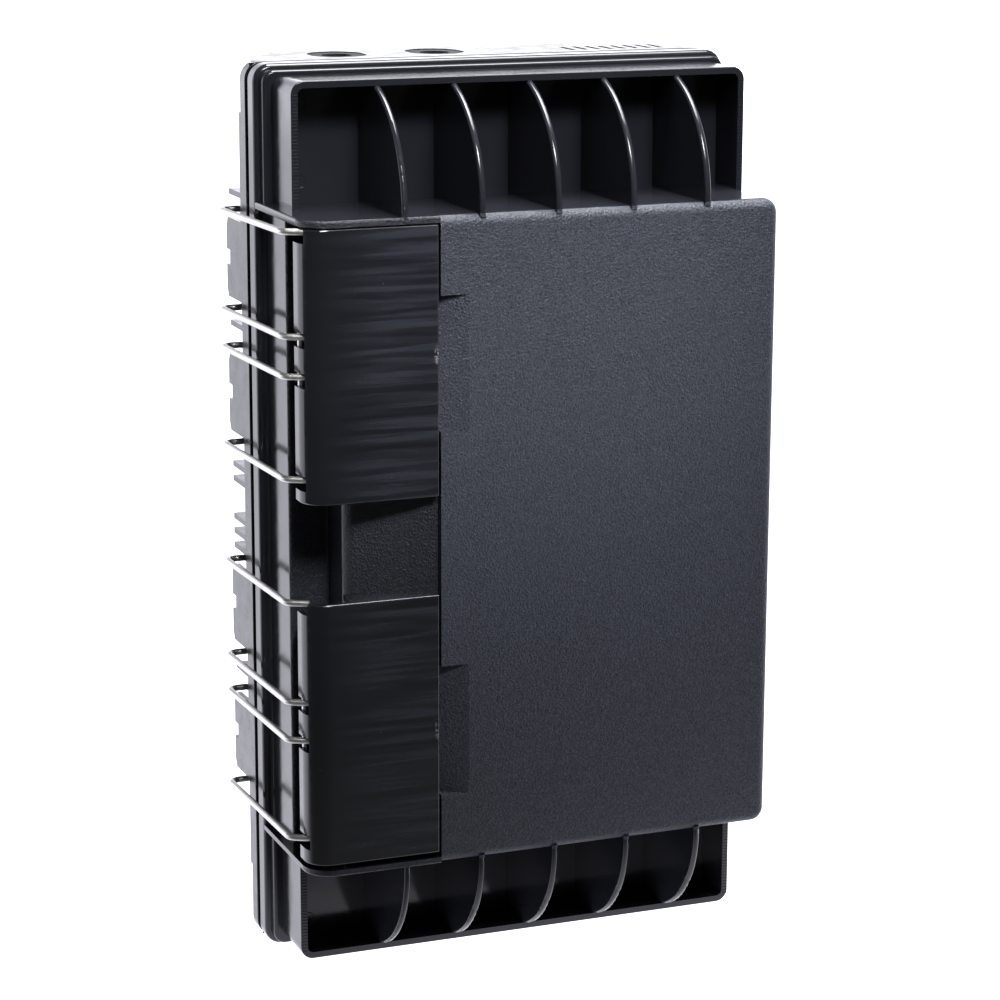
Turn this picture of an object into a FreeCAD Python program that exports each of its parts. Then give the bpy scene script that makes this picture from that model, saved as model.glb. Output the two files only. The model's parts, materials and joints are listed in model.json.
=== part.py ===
import FreeCAD, Part
import math
import os

# Fibre splice box, in millimetres.
# Origin: centre of the wall fixing pattern on the back. X runs along the width with the latches
# at -X and the hinge at +X, Y runs from the front panel to the wall, and Z is up.

V = FreeCAD.Vector

# Overall
box_width = 229.2
box_height = 414.0
base_depth = 52.0
seam_gap = 4.6
flange_thick = 9.0
cover_rise = 70.4
wall = 3.1
flange_corner = 8.0
flange_round = 2.4
bite = 1.0

# Cover: second step of the flange and the end pockets
band_thick = 5.9
band_inset = 2.4
band_round = 1.5
pocket_inset_left = 6.3
pocket_inset_right = 5.2
pocket_inset_end = 4.7
pocket_rim_rise = 34.4
pocket_floor_rise = 11.7
pocket_corner = 6.0
pocket_rim_round = 0.6
rib_count = 5
rib_pitch = 36.0
rib_thick = 3.0
rib_middle = 3.4
rib_round = 1.3

# Cover: raised centre with its panel and end plates
centre_height = 296.0
centre_drop = 2.0
centre_inset_right = 3.7
panel_edge_round = 4.5
panel_corner = 6.5
plate_thick = 3.0
plate_nose = 13.0
plate_round = 1.2

# Latch bay in the cover
lever_width = 61.3
lever_gap = 0.8
bay_lip_depth = 4.6
bay_crease_depth = 9.2
bay_brow_depth = 16.8
bay_ramp_width = 12.1
shelf_inset = 4.6
shelf_rise = 29.8
well_width = 17.9
brow_round = 7.0
shelf_round = 1.5
scoop_width = 13.3
scoop_height = 61.0
scoop_draft = 1.3
upper_scoop_drop = 1.3
lower_scoop_drop = 3.4

# Latch levers
lever_length = 121.0
upper_lever_gap = 0.7
lower_lever_gap = 2.4
lever_skin = 2.5
lever_clearance = 0.9
lever_nose = 11.0
lever_round = 0.9
lever_tip_solid = 13.0
pivot_inset = 5.0
pivot_depth = 20.5
pivot_pin_radius = 2.0
pivot_boss_radius = 3.4
lug_thick = 6.0
lug_side_gap = 0.5
lug_heel_angle = 143.0
web_thick = 2.5
web_reach = 10.0
running_clearance = 0.06
notch_front = 5.7
notch_above = 1.8
notch_below = 4.8
swing_clearance = 2.0

# Wire bails
wire_radius = 1.5
bail_space = 17.6
bail_end_inset = 6.0
upper_bail_raise = 4.4
lower_bail_raise = 5.4
bail_standoff = 5.8
bail_front_depth = 13.5
bail_lean = 0.56
bail_reach = 9.0
bail_bar_inset = 7.5
bail_bend = 5.0
bail_rim_gap = 12.0

# Base
rim_thick = 8.0
rim_step = 2.0
upper_step_end = 23.3
lower_step_end = 34.0
rim_round = 0.5
rim_inner = 6.0
base_inset_left = 20.0
base_inset_right = 12.0
base_end_inset = 0.6
base_corner = 4.5
base_round = 3.0
gusset_inset = 2.5
hook_drop = 2.6
tab_reach = 24.4
tab_thick = 3.0
tab_side_gap = 4.4
tab_chamfer = 4.0
tab_notch_depth = 5.0
tab_notch_height = 7.0
fin_reach = 20.2
fin_thick = 2.6
fin_pitch = 7.0
fin_above_leg = 4.4
fin_below_leg = 13.6
fin_over_top = 5.2
bearing_spread = 20.0

# Seam gasket
gasket_inset = 1.8
gasket_width = 3.2
gasket_groove = 2.0
gasket_relief = 0.15

# Cover hinge
hinge_offset = 4.5
hinge_clearance = 0.55
hinge_pin_radius = 2.0
hinge_spread = 190.0
knuckle_length = 20.0
knuckle_gap = 0.4

# Cable ports and the comb of slots in the top end
port_width = 26.0
port_length = 31.0
port_spacing = 48.0
port_left = -61.6
port_setback = 23.0
port_clearance = 0.1
port_recess = 0.4
grommet_lip = 2.5
grommet_lip_thick = 3.0
cable_radius = 7.0
slot_count = 8
slot_pitch = 6.4
slot_width = 2.4
slot_length = 18.0
slot_side_gap = 2.5
slot_setback = 30.0
seal_margin = 1.0
seal_thick = 4.0

# Wall fixing
mount_spacing_x = 150.0
mount_end_inset = 22.0
insert_radius = 3.2
insert_bore = 2.1
insert_length = 7.0
insert_boss_wall = 2.8
insert_floor = 2.0

# Splice trays and their carrier
carrier_side = 5.0
carrier_end = 12.0
carrier_thick = 2.0
carrier_corner = 6.0
carrier_standoff = 5.0
carrier_screw_inset = 8.0
tray_count = 6
tray_width = 140.0
tray_end_room = 82.0
tray_rim = 9.0
tray_wall = 1.6
tray_corner = 14.0
lid_thick = 1.6
stud_radius = 2.5
stud_end_inset = 15.0
stud_collar_radius = 4.5
stud_collar_thick = 1.5
stud_proud = 2.0
stud_clearance = 0.2
stud_sleeve_wall = 3.0
nut_radius = 7.0
nut_height = 6.0
nut_grooves = 12
nut_groove_radius = 0.8
holder_ridges = 7
holder_pitch = 5.0
holder_length = 40.0
holder_ridge_thick = 1.0
holder_height = 3.2
keeper_width = 16.0
keeper_reach = 8.0
keeper_thick = 1.4

# Screws and cable clamps
screw_radius = 2.0
screw_head_radius = 4.0
screw_head_height = 2.4
screw_length = 8.0
screw_clearance = 0.2
screw_boss_radius = 4.5
clamp_setback = 54.4
clamp_width = 14.0
clamp_thick = 2.5
clamp_air = 1.0
clamp_foot = 13.0

# Planes that the pieces share
y_rim = -base_depth
y_rim_back = y_rim + rim_thick
y_flange_back = y_rim - seam_gap
y_flange = y_flange_back - flange_thick
y_band = y_flange - band_thick
y_pocket_rim = y_flange - pocket_rim_rise
y_pocket_floor = y_flange - pocket_floor_rise
y_shelf = y_flange - shelf_rise
y_panel = y_flange - cover_rise
y_back_inside = -wall
x_left = -box_width / 2
x_right = box_width / 2
z_top = box_height / 2
x_pocket_left = x_left + pocket_inset_left
x_pocket_right = x_right - pocket_inset_right
z_pocket = z_top - pocket_inset_end
z_upper_end = centre_height / 2 - centre_drop
z_lower_end = centre_height / 2 + centre_drop
z_upper_plate = z_upper_end - plate_thick
z_lower_plate = z_lower_end - plate_thick
x_centre_right = x_right - centre_inset_right
x_lever_tip = x_left + lever_width
x_panel_edge = x_lever_tip + lever_gap
x_crease = x_panel_edge - bay_ramp_width
x_shelf = x_left + shelf_inset
x_well = x_shelf + well_width
x_base_left = x_left + base_inset_left
x_base_right = x_right - base_inset_right
z_base = z_top - base_end_inset
x_tray = (x_base_left + x_base_right) / 2
pivot = (x_left + pivot_inset, y_panel + pivot_depth)
hinge = (x_right + hinge_offset, (y_rim + y_flange_back) / 2)
bail_bar = (x_left + bail_bar_inset, y_rim_back + rim_step + wire_radius + bail_rim_gap)
lever_middles = {
    "upper": z_upper_plate - upper_lever_gap - lever_length / 2,
    "lower": -z_lower_plate + lower_lever_gap + lever_length / 2,
}
scoop_middles = [lever_middles["upper"] - upper_scoop_drop, lever_middles["lower"] - lower_scoop_drop]
bail_width = (lever_length - bail_space) / 2 - bail_end_inset
bail_half_step = (bail_width + bail_space) / 2
upper_bail_middle = lever_middles["upper"] + upper_bail_raise
lower_bail_middle = lever_middles["lower"] + lower_bail_raise
bail_middles = [
    upper_bail_middle + bail_half_step,
    upper_bail_middle - bail_half_step,
    lower_bail_middle + bail_half_step,
    lower_bail_middle - bail_half_step,
]
lever_bails = {"upper": bail_middles[:2], "lower": bail_middles[2:]}
slot_row = (slot_count - 1) * slot_pitch + slot_width
slot_left = x_base_right - wall - slot_side_gap - slot_row
mount_spacing_z = box_height - 2 * mount_end_inset
tray_height = box_height - 2 * tray_end_room
carrier_width = tray_width + 2 * carrier_side
carrier_height = tray_height + 2 * carrier_end
stud_spacing = tray_height - 2 * stud_end_inset
clamp_middle = z_base - clamp_setback
y_carrier = y_back_inside - carrier_standoff
y_trays = y_carrier - carrier_thick
y_lid = y_trays - tray_count * tray_rim
y_nuts = y_lid - lid_thick
port_places = [port_left, port_left + port_spacing]
y_clamp = -port_setback


# Building blocks

def box(x0, x1, y0, y1, z0, z1):
    return Part.makeBox(x1 - x0, y1 - y0, z1 - z0, V(x0, y0, z0))


def rod(start, end, radius):
    run = end - start
    return Part.makeCylinder(radius, run.Length, start, run)


def join(shapes):
    return shapes[0].multiFuse(shapes[1:]).removeSplitter()


# Edges of a path through corners (u, v, radius), with a tangent arc at each rounded corner.
def rounded_edges(corners, place, closed):
    count = len(corners)
    entry = []
    leave = []
    middle = []
    for i, (u, v, radius) in enumerate(corners):
        here = place(u, v)
        inner = closed or 0 < i < count - 1
        if radius <= 0 or not inner:
            entry.append(here)
            leave.append(here)
            middle.append(None)
            continue
        before = place(*corners[i - 1][:2]) - here
        after = place(*corners[(i + 1) % count][:2]) - here
        before.normalize()
        after.normalize()
        half = before.getAngle(after) / 2
        cut = radius / math.tan(half)
        bisector = before + after
        bisector.normalize()
        entry.append(here + before * cut)
        leave.append(here + after * cut)
        middle.append(here + bisector * (radius / math.sin(half) - radius))
    edges = []
    for i in range(count):
        if middle[i] is not None:
            edges.append(Part.Arc(entry[i], middle[i], leave[i]).toShape())
        following = (i + 1) % count
        if following == 0 and not closed:
            break
        if leave[i].distanceToPoint(entry[following]) > 1e-6:
            edges.append(Part.LineSegment(leave[i], entry[following]).toShape())
    return edges


# Prism of a rounded outline. axis "z" takes (x, y) corners, "y" takes (x, z), "x" takes (y, z).
def prism(corners, axis, low, high):
    places = {
        "x": lambda u, v: V(low, u, v),
        "y": lambda u, v: V(u, low, v),
        "z": lambda u, v: V(u, v, low),
    }
    runs = {"x": V(high - low, 0, 0), "y": V(0, high - low, 0), "z": V(0, 0, high - low)}
    wire = Part.Wire(rounded_edges(corners, places[axis], True))
    return Part.Face(wire).extrude(runs[axis])


def slab(x0, x1, z0, z1, radius, y0, y1):
    corners = [(x0, z0, radius), (x1, z0, radius), (x1, z1, radius), (x0, z1, radius)]
    return prism(corners, "y", y0, y1)


# Round the edges whose middle point passes the test.
def soften(shape, radius, test):
    chosen = []
    for edge in shape.Edges:
        middle = edge.valueAt((edge.FirstParameter + edge.LastParameter) / 2)
        if test(middle):
            chosen.append(edge)
    return shape.makeFillet(radius, chosen)


def near(a, b):
    return abs(a - b) < 1e-3


# Corners of a polygon moved towards its inside by a wall thickness. The inside is on the left of the path.
def inset(points, thickness):
    moved = []
    count = len(points)
    for i in range(count):
        a = V(*points[i - 1], 0)
        b = V(*points[i], 0)
        c = V(*points[(i + 1) % count], 0)
        first = b - a
        second = c - b
        first.normalize()
        second.normalize()
        first_in = V(-first.y, first.x, 0)
        second_in = V(-second.y, second.x, 0)
        bisector = first_in + second_in
        bisector.normalize()
        stretch = thickness / bisector.dot(first_in)
        corner = b + bisector * stretch
        moved.append((corner.x, corner.y))
    return moved


def mirror_end(shape):
    return shape.mirror(V(0, 0, 0), V(0, 0, 1))


# The same shape at the cover's upper and lower ends, each from the outer face of its end plate.
def at_both_ends(build):
    return [build(z_upper_end), mirror_end(build(z_lower_end))]


# Cover

def cover_end_block(end_face):
    seat = end_face - plate_thick
    band_corner = flange_corner - band_inset
    band_left = x_left + band_inset
    band_right = x_right - band_inset
    band_end = z_top - band_inset
    band = prism(
        [
            (band_left, seat, 0),
            (band_right, seat, 0),
            (band_right, band_end, band_corner),
            (band_left, band_end, band_corner),
        ],
        "y", y_band, y_flange + bite,
    )
    band = soften(band, band_round, lambda p: near(p.y, y_band) and not near(p.z, seat))
    pocket = prism(
        [
            (x_pocket_left, seat, 0),
            (x_pocket_right, seat, 0),
            (x_pocket_right, z_pocket, pocket_corner),
            (x_pocket_left, z_pocket, pocket_corner),
        ],
        "y", y_pocket_rim, y_band + bite,
    )
    pocket = soften(pocket, pocket_rim_round, lambda p: near(p.y, y_pocket_rim) and not near(p.z, seat))
    return join([band, pocket])


def cover_pocket_space(end_face):
    corner = pocket_corner - wall
    left = x_pocket_left + wall
    right = x_pocket_right - wall
    end = z_pocket - wall
    corners = [(left, end_face, 0), (right, end_face, 0), (right, end, corner), (left, end, corner)]
    return prism(corners, "y", y_pocket_rim - bite, y_pocket_floor)


def cover_end_space(end_face):
    seat = end_face - plate_thick
    left = x_pocket_left + wall
    right = x_pocket_right - wall
    end = z_pocket - wall
    corner = pocket_corner - wall
    corners = [(left, seat, 0), (right, seat, 0), (right, end, corner), (left, end, corner)]
    return prism(corners, "y", y_pocket_floor + wall, y_flange_back + bite)


def cover_plate(end_face):
    corners = [
        (x_left, y_flange + bite, 0),
        (x_left, y_panel, plate_nose),
        (x_panel_edge, y_panel, 0),
        (x_panel_edge, y_flange + bite, 0),
    ]
    plate = prism(corners, "z", end_face - plate_thick, end_face)
    return soften(plate, plate_round,
                  lambda p: near(p.z, end_face) and p.y < y_flange and not near(p.x, x_panel_edge))


def cover_panel():
    block = prism(
        [
            (x_panel_edge, -z_lower_end, 0),
            (x_centre_right, -z_lower_end, panel_corner),
            (x_centre_right, z_upper_end, panel_corner),
            (x_panel_edge, z_upper_end, 0),
        ],
        "y", y_panel, y_flange + bite,
    )
    return soften(block, panel_edge_round, lambda p: near(p.y, y_panel) and not near(p.x, x_panel_edge))


def centre_section():
    return [
        (x_shelf, y_flange_back),
        (x_shelf, y_shelf),
        (x_well, y_shelf),
        (x_well, y_panel + bay_brow_depth),
        (x_crease, y_panel + bay_crease_depth),
        (x_panel_edge, y_panel + bay_lip_depth),
        (x_panel_edge, y_panel),
        (x_centre_right, y_panel),
        (x_centre_right, y_flange_back),
    ]


# The latch side of the raised centre, up to the edge of the panel.
def cover_centre():
    rounds = [0, shelf_round, shelf_round, brow_round, 0, 0]
    corners = [(x, y, r) for (x, y), r in zip(centre_section(), rounds)]
    foot = x_shelf - shelf_round
    corners = [(foot, y_flange_back, 0), (foot, y_flange, 0), (x_shelf, y_flange, shelf_round)] + corners[1:]
    corners += [(x_panel_edge + bite, y_panel + bay_lip_depth, 0), (x_panel_edge + bite, y_flange_back, 0)]
    return prism(corners, "z", -z_lower_plate - bite, z_upper_plate + bite)


def cover_centre_space():
    inner = inset(centre_section(), wall)
    inner[0] = (inner[0][0], y_flange_back + bite)
    inner[-1] = (inner[-1][0], y_flange_back + bite)
    return prism([(x, y, 0) for x, y in inner], "z", -z_lower_plate, z_upper_plate)


# The front edge of a rib is an arc, tangent to the panel and ending at the pocket rim.
def cover_rib(middle, end_face):
    span = z_pocket - wall - end_face
    drop = y_pocket_rim - y_panel
    radius = (span * span + drop * drop) / (2 * drop)
    left = middle - rib_thick / 2
    disc = Part.makeCylinder(radius, rib_thick, V(left, y_panel + radius, end_face), V(1, 0, 0))
    disc = soften(disc, rib_round, lambda p: not near(p.x, middle))
    root = end_face - plate_thick / 2
    field = box(
        left, left + rib_thick,
        y_panel, y_pocket_floor + bite, root, z_pocket - wall / 2,
    )
    below = box(
        left, left + rib_thick,
        y_panel + radius, y_pocket_floor + radius, root, z_pocket,
    )
    return field.common(disc.fuse(below))


def lever_lug(middle):
    px, py = pivot
    foot_left = x_shelf + wall
    heel = math.radians(lug_heel_angle)
    arm = prism(
        [
            (px, py - pivot_boss_radius, 0),
            (x_well + bite, y_panel + bay_brow_depth + wall, 0),
            (x_well + bite, y_shelf + bite, 0),
            (foot_left, y_shelf + bite, 0),
            (px + pivot_boss_radius * math.cos(heel), py + pivot_boss_radius * math.sin(heel), 0),
        ],
        "z", middle - lug_thick / 2, middle + lug_thick / 2,
    )
    boss = rod(V(px, py, middle - lug_thick / 2), V(px, py, middle + lug_thick / 2), pivot_boss_radius)
    return arm.fuse(boss)


def scoop_backing(middle):
    height = scoop_height / 2 + wall
    depth = bay_lip_depth + wall
    corners = [
        (x_panel_edge + wall / 2, y_panel + wall / 2, 0),
        (x_panel_edge + scoop_width + wall, y_panel + wall / 2, 0),
        (x_panel_edge + scoop_width + wall, y_panel + wall, 0),
        (x_panel_edge + wall / 2, y_panel + depth, 0),
    ]
    return prism(corners, "z", middle - height, middle + height)


def scoop_cut(middle):
    corners = [
        (x_panel_edge - bite, y_panel - bite, 0),
        (x_panel_edge + scoop_width, y_panel - bite, 0),
        (x_panel_edge + scoop_width, y_panel, 0),
        (x_panel_edge, y_panel + bay_lip_depth, 0),
        (x_panel_edge - bite, y_panel + bay_lip_depth, 0),
    ]
    low = middle - scoop_height / 2
    high = middle + scoop_height / 2
    sides = [
        (y_panel, low, 0),
        (y_panel + bay_lip_depth, low + scoop_draft, 0),
        (y_panel + bay_lip_depth, high, 0),
        (y_panel - bite, high, 0),
        (y_panel - bite, low, 0),
    ]
    ends = prism(sides, "x", x_panel_edge - bite, x_panel_edge + scoop_width)
    return prism(corners, "z", low, high).common(ends)


def hinge_knuckle_radius():
    return math.hypot(hinge_offset, seam_gap / 2) - hinge_clearance


# A hinge leaf at one height: a barrel on the hinge line and an arm to the flange or the rim.
def hinge_leaf(y_far, y_near, side, low, high):
    hx, hy = hinge
    radius = hinge_knuckle_radius()
    corners = [
        (x_right - bite, y_far, 0),
        (hx, hy + side * radius, 0),
        (hx, hy, 0),
        (x_right - bite, y_near, 0),
    ]
    arm = prism(corners, "z", low, high)
    barrel = rod(V(hx, hy, low), V(hx, hy, high), radius)
    return arm.fuse(barrel)


def hinge_middles():
    return [hinge_spread / 2, -hinge_spread / 2]


def hinge_bore(radius):
    hx, hy = hinge
    return rod(V(hx, hy, -z_top), V(hx, hy, z_top), radius)


def make_cover_shell():
    flange = slab(x_left, x_right, -z_top, z_top, flange_corner, y_flange, y_flange_back)
    flange = soften(flange, flange_round, lambda p: near(p.y, y_flange))
    solids = [flange, cover_centre(), cover_panel()]
    shell = join(solids + at_both_ends(cover_end_block) + at_both_ends(cover_plate))
    spaces = at_both_ends(cover_pocket_space) + at_both_ends(cover_end_space)
    shell = shell.cut(spaces + [cover_centre_space()])
    added = []
    for i in range(rib_count):
        middle = rib_middle + (i - (rib_count - 1) / 2) * rib_pitch
        added += at_both_ends(lambda end_face: cover_rib(middle, end_face))
    for middle in bail_middles:
        added.append(lever_lug(middle))
    for middle in scoop_middles:
        added.append(scoop_backing(middle))
    for middle in hinge_middles():
        added.append(hinge_leaf(y_flange + flange_round, y_flange_back, -1,
                                middle - knuckle_length / 2, middle + knuckle_length / 2))
    shell = join([shell] + added)
    cuts = [hinge_bore(hinge_pin_radius + running_clearance)]
    for middle in scoop_middles:
        cuts.append(scoop_cut(middle))
    px, py = pivot
    bore = pivot_pin_radius + running_clearance
    cuts.append(rod(V(px, py, -z_lower_plate), V(px, py, z_upper_plate), bore))
    return shell.cut(cuts).removeSplitter()


# Base

def base_fin(low, bored):
    depth = y_rim_back + fin_reach
    fin = box(x_left, x_base_left + wall, y_rim_back - bite, depth, low, low + fin_thick)
    if not bored:
        return fin
    bx, by = bail_bar
    bore = wire_radius + running_clearance
    return fin.cut(rod(V(bx, by, low - bite), V(bx, by, low + fin_thick + bite), bore))


def base_fins():
    upper_low_leg = bail_middles[1] - bail_width / 2
    lower_high_leg = bail_middles[2] + bail_width / 2
    lows = [
        bail_middles[0] + bail_width / 2 + fin_over_top,
        upper_bail_middle - fin_thick / 2,
        lower_bail_middle - fin_thick / 2,
    ]
    lows += [upper_low_leg - fin_below_leg - i * fin_pitch for i in range(2)]
    lows += [lower_high_leg + fin_above_leg + i * fin_pitch - fin_thick / 2 for i in range(3)]
    fins = [base_fin(low - hook_drop / 2, False) for low in lows]
    for middle in bail_middles:
        for side in (-1, 1):
            bearing = middle - hook_drop + side * bearing_spread / 2
            fins.append(base_fin(bearing - fin_thick / 2, True))
    return fins


def base_tab(middle):
    half = bail_width / 2 - tab_side_gap
    y_far = y_rim_back + tab_reach
    corners = [
        (y_rim_back - bite, middle - half),
        (y_far - tab_chamfer / 2, middle - half),
        (y_far, middle - half + tab_chamfer),
        (y_far, middle - tab_notch_height / 2),
        (y_far - tab_notch_depth, middle - tab_notch_height / 2),
        (y_far - tab_notch_depth, middle + tab_notch_height / 2),
        (y_far, middle + tab_notch_height / 2),
        (y_far, middle + half - tab_chamfer),
        (y_far - tab_chamfer / 2, middle + half),
        (y_rim_back - bite, middle + half),
    ]
    return prism([(y, z, 0) for y, z in corners], "x", x_left, x_left + tab_thick)


def base_gusset():
    corners = [
        (x_left + gusset_inset, y_rim + bite, 0),
        (x_right - gusset_inset, y_rim + bite, 0),
        (x_base_right, 0, 0),
        (x_base_left, 0, 0),
    ]
    return prism(corners, "z", z_base - wall, z_base)


def back_boss(x, z, radius, y_front):
    return rod(V(x, y_back_inside + wall / 2, z), V(x, y_front, z), radius)


def corners_of(width, height, middle_x):
    places = []
    for sx in (-1, 1):
        for sz in (-1, 1):
            places.append((middle_x + sx * width / 2, sz * height / 2))
    return places


def mount_places():
    return corners_of(mount_spacing_x, mount_spacing_z, 0)


def carrier_screw_places():
    return corners_of(carrier_width - 2 * carrier_screw_inset, tray_height + carrier_end, x_tray)


def clamp_screw_places():
    reach = cable_radius + clamp_air + clamp_thick + clamp_foot / 2
    return [(x + side * reach, clamp_middle) for x in port_places for side in (-1, 1)]


def port_outline(x, grow):
    half_x = port_width / 2 + grow
    half_y = port_length / 2 + grow
    return [
        (x - half_x, -port_setback - half_y, half_x),
        (x + half_x, -port_setback - half_y, half_x),
        (x + half_x, -port_setback + half_y, half_x),
        (x - half_x, -port_setback + half_y, half_x),
    ]


def slot_cut(index):
    x = slot_left + index * slot_pitch
    y = -slot_setback
    return box(x, x + slot_width, y - slot_length / 2, y + slot_length / 2, z_base - 2 * wall, z_base + bite)


def gasket_ring(y_front, y_back):
    rings = []
    for edge in (gasket_inset, gasket_inset + gasket_width):
        rings.append(slab(x_left + edge, x_right - edge, -z_top + edge, z_top - edge,
                          flange_corner - edge, y_front, y_back))
    return rings[0].cut(rings[1])


def make_base_shell():
    rim = slab(x_left, x_right, -z_top, z_top, flange_corner, y_rim, y_rim_back)
    rim = soften(rim, rim_round, lambda p: near(p.y, y_rim) or near(p.y, y_rim_back))
    step = box(x_left, x_base_left, y_rim_back - bite, y_rim_back + rim_step,
               lower_step_end - z_top, z_top - upper_step_end)
    body = slab(x_base_left, x_base_right, -z_base, z_base, base_corner, y_rim + bite, 0)
    body = soften(body, base_round, lambda p: near(p.y, 0))
    gusset = base_gusset()
    solids = [rim, step, body, gusset, mirror_end(gusset)]
    solids += [base_tab(middle - hook_drop) for middle in bail_middles]
    shell = join(solids + base_fins())
    leaves = []
    for middle in hinge_middles():
        for side in (-1, 1):
            near_end = middle + side * (knuckle_length / 2 + knuckle_gap)
            far_end = near_end + side * knuckle_length
            ends = sorted((near_end, far_end))
            leaves.append(hinge_leaf(y_rim_back - bite, y_rim, 1, *ends))
    shell = join([shell] + leaves)
    space = slab(x_base_left + wall, x_base_right - wall, -z_base + wall, z_base - wall,
                 base_corner - wall, y_rim_back, y_back_inside)
    mouth = slab(x_base_left + wall, x_base_right - wall, -z_top + rim_inner, z_top - rim_inner,
                 base_corner - wall, y_rim - bite, y_rim_back + bite)
    shell = shell.cut([space, mouth])
    insert_boss = insert_radius + insert_boss_wall
    bosses = [back_boss(x, z, insert_boss, -insert_length - insert_floor) for x, z in mount_places()]
    bosses += [back_boss(x, z, screw_boss_radius, y_carrier) for x, z in carrier_screw_places()]
    bosses += [back_boss(x, z, screw_boss_radius, y_clamp) for x, z in clamp_screw_places()]
    shell = join([shell] + bosses)
    cuts = [gasket_ring(y_rim - bite, y_rim + gasket_groove)]
    cuts.append(hinge_bore(hinge_pin_radius + running_clearance))
    cuts += [rod(V(x, bite, z), V(x, -insert_length, z), insert_radius) for x, z in mount_places()]
    for places, seat in ((carrier_screw_places(), y_carrier), (clamp_screw_places(), y_clamp)):
        cuts += [rod(V(x, seat - bite, z), V(x, seat + screw_length, z), screw_radius) for x, z in places]
    cuts += [prism(port_outline(x, 0), "z", z_base - 2 * wall, z_base + bite) for x in port_places]
    cuts += [slot_cut(i) for i in range(slot_count)]
    return shell.cut(cuts).removeSplitter()


# Latches

def lever_section():
    slope = (bay_crease_depth - bay_lip_depth) / bay_ramp_width
    tip_depth = bay_lip_depth + slope * lever_gap - lever_clearance
    rear = y_panel + bay_brow_depth - lever_clearance
    return [
        (x_left, rear, 0),
        (x_left, y_panel, lever_nose),
        (x_lever_tip, y_panel, 0),
        (x_lever_tip, y_panel + tip_depth, 0),
        (x_crease, y_panel + bay_crease_depth - lever_clearance, 0),
        (x_well, rear, 0),
    ]


def lever_web(low, high):
    px, py = pivot
    left = x_left + lever_skin / 2
    plate = box(left, px + web_reach, y_panel + lever_skin / 2, py - pivot_boss_radius, low, high)
    nose = lever_nose - lever_skin / 2
    corner = prism(
        [
            (left, py, 0),
            (left, y_panel + lever_skin / 2, nose),
            (px + web_reach, y_panel + lever_skin / 2, 0),
            (px + web_reach, py, 0),
        ],
        "z", low, high,
    )
    neck = prism(
        [
            (px - pivot_boss_radius, py, 0),
            (px - pivot_boss_radius, py - 2 * pivot_boss_radius, 0),
            (px + web_reach, py - 2 * pivot_boss_radius, 0),
            (px + pivot_boss_radius, py, 0),
        ],
        "z", low, high,
    )
    boss = rod(V(px, py, low), V(px, py, high), pivot_boss_radius)
    return plate.common(corner).multiFuse([neck, boss])


def make_lever(which):
    middle = lever_middles[which]
    low = middle - lever_length / 2
    high = middle + lever_length / 2
    px, py = pivot
    rear = y_panel + bay_brow_depth
    shell = prism(lever_section(), "z", low, high)
    shell = soften(shell, lever_round,
                   lambda p: p.y < y_panel + lever_nose / 2 and (near(p.z, low) or near(p.z, high)
                                                              or near(p.x, x_lever_tip)) and
                   not (near(p.x, x_lever_tip) and p.y > y_panel + bite))
    inside = prism(
        [
            (x_left + lever_skin, rear + bite, 0),
            (x_left + lever_skin, y_panel + lever_skin, lever_nose - lever_skin),
            (x_lever_tip - lever_tip_solid, y_panel + lever_skin, 0),
            (x_lever_tip - lever_tip_solid, rear + bite, 0),
        ],
        "z", low + lever_skin, high - lever_skin,
    )
    shell = shell.cut(inside)
    # The ends are open round the pivot, so that the outermost wires can pass.
    wire_path = math.hypot(pivot_inset + bail_standoff, pivot_depth - bail_front_depth) + wire_radius
    sweep = prism(
        [
            (x_left + lever_skin, py, 0),
            (x_left + lever_skin, y_panel + lever_skin, lever_nose - lever_skin),
            (px + wire_path + swing_clearance, y_panel + lever_skin, 0),
            (px + wire_path + swing_clearance, py, 0),
        ],
        "z", low - bite, high + bite,
    )
    cuts = [sweep]
    webs = []
    for bail_middle in lever_bails[which]:
        for side in (-1, 1):
            leg = bail_middle + side * bail_width / 2
            cuts.append(box(x_left - bite, x_left + lever_nose, y_panel + notch_front, rear + bite,
                            leg - notch_below, leg + notch_above))
            inner = bail_middle + side * (lug_thick / 2 + lug_side_gap)
            outer = inner + side * web_thick
            webs.append(lever_web(min(inner, outer), max(inner, outer)))
    shell = join([shell.cut(cuts)] + webs)
    return shell.cut(rod(V(px, py, low), V(px, py, high), pivot_pin_radius + running_clearance))


def make_lever_pin(which):
    px, py = pivot
    reach = lug_thick / 2 + lug_side_gap + 2 * web_thick
    top = max(lever_bails[which]) + reach
    bottom = min(lever_bails[which]) - reach
    return rod(V(px, py, bottom), V(px, py, top), pivot_pin_radius)


def make_bail(middle):
    bx, by = bail_bar
    leg_x = x_left - bail_standoff
    front_y = y_panel + bail_front_depth
    tip_x = leg_x + bail_reach
    tip_y = front_y - bail_lean * bail_reach
    half = bail_width / 2
    back = middle - hook_drop
    route = [
        V(tip_x, tip_y, middle + half),
        V(leg_x, front_y, middle + half),
        V(leg_x, by, back + half),
        V(bx, by, back + half),
        V(bx, by, back - half),
        V(leg_x, by, back - half),
        V(leg_x, front_y, middle - half),
        V(tip_x, tip_y, middle - half),
    ]
    corners = [(i, 0, bail_bend) for i in range(len(route))]
    edges = rounded_edges(corners, lambda i, _: V(route[i]), False)
    path = Part.Wire(edges)
    heading = route[1] - route[0]
    section = Part.Wire(Part.makeCircle(wire_radius, route[0], heading))
    return path.makePipeShell([section], True, False)


# Seals

def make_lid_gasket():
    return gasket_ring(y_flange_back + gasket_relief, y_rim + gasket_groove)


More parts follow.
